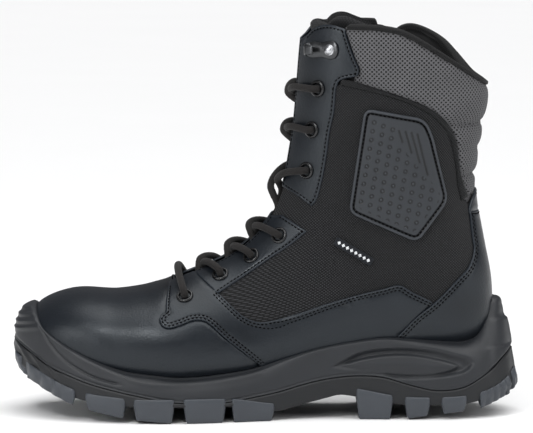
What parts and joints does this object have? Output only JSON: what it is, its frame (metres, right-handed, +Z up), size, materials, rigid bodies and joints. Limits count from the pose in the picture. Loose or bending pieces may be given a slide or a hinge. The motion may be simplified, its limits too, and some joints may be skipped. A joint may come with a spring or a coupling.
{
  "type": "steel toe work boot",
  "caption": "Laced ankle-high safety boot with a steel toe, side zip, padded collar and lugged sole.",
  "frame": {"origin": "centre of the boot's outline on the plane its lugs stand on", "axes": "+Z up, toe towards -X, heel towards +X, outer side towards -Y, inner side with the zip towards +Y"},
  "size_m": [0.3102, 0.1081, 0.242],
  "materials": {
    "leather": "smooth full-grain leather, satin",
    "ballistic_nylon": "coarse woven nylon, matt",
    "collar_mesh": "two-tone woven mesh, matt",
    "roll_fabric": "padded woven nylon, matt",
    "binding": "woven tape, matt",
    "lining_fabric": "padded knitted lining, matt",
    "moulded_patch": "moulded soft plastic, satin",
    "midsole_foam": "moulded polyurethane, fine satin texture",
    "outsole_rubber": "moulded rubber, matt",
    "lace_cord": "round braided cord, matt",
    "gunmetal": "black enamel, glossy",
    "bright_metal": "bright nickel",
    "steel": "bare steel",
    "stiffener_board": "fibre board, matt",
    "edge_strip": "soft plastic strip",
    "footbed_foam": "fabric-faced foam, matt",
    "label_fabric": "woven tape with a pale abstract print",
    "zip_plastic": "nylon tape and moulded teeth"
  },
  "bodies": {
    "boot": {"ankle_patch": "moulded_patch", "collar_binding": "binding", "collar_binding_medial_front": "binding", "collar_lateral": "collar_mesh", "collar_medial_front": "collar_mesh", "collar_medial_rear": "collar_mesh", "eyelet_lateral_1": "gunmetal", "eyelet_lateral_2": "gunmetal", "eyelet_lateral_3": "gunmetal", "eyelet_lateral_4": "gunmetal", "eyelet_lateral_5": "gunmetal", "eyelet_lateral_6": "gunmetal", "eyelet_lateral_7": "gunmetal", "eyelet_medial_1": "gunmetal", "eyelet_medial_2": "gunmetal", "eyelet_medial_3": "gunmetal", "eyelet_medial_4": "gunmetal", "eyelet_medial_5": "gunmetal", "eyelet_medial_6": "gunmetal", "eyelet_medial_7": "gunmetal", "footbed": "footbed_foam", "heel_counter": "leather", "heel_stiffener": "stiffener_board", "heel_tab": "leather", "hook_rivet_lateral": "bright_metal", "hook_rivet_medial": "bright_metal", "insole_board": "stiffener_board", "label_tag": "label_fabric", "lace": "lace_cord", "lace_hook_lateral": "gunmetal", "lace_hook_medial": "gunmetal", "lace_keeper": "leather", "lining_vamp": "lining_fabric", "lining_lateral": "lining_fabric", "lining_medial": "lining_fabric", "lining_heel": "lining_fabric", "lower_eyestay_lateral": "leather", "lower_eyestay_medial": "leather", "midsole": "midsole_foam", "mudguard_lateral": "leather", "mudguard_medial": "leather", "outsole": "outsole_rubber", "quarter_lateral": "ballistic_nylon", "quarter_medial": "ballistic_nylon", "quarter_roll_lateral": "roll_fabric", "quarter_roll_medial_front": "roll_fabric", "quarter_roll_medial_rear": "roll_fabric", "shank": "steel", "steel_toe_cap": "steel", "toe_cap_edge_strip": "edge_strip", "tongue": "ballistic_nylon", "upper_eyestay_lateral": "leather", "upper_eyestay_medial": "leather", "vamp": "leather", "zip_bottom_stop": "gunmetal", "zip_tape_front": "zip_plastic", "zip_tape_rear": "zip_plastic", "zip_teeth": "zip_plastic"},
    "slider": {"zip_slider": "gunmetal"},
    "puller": {"zip_puller": "gunmetal"}
  },
  "joints": [
    {"name": "zip_slide", "type": "slide", "parent": "boot", "child": "slider", "axis": [-0.0935, -0.0573, -0.994], "range_m": [0, 0.125]},
    {"name": "puller_hinge", "type": "hinge", "parent": "slider", "child": "puller", "pos_m": [0.07858, 0.04781, 0.22232], "axis": [0.9953, 0.0178, -0.0947], "range_deg": [0, 150]}
  ]
}
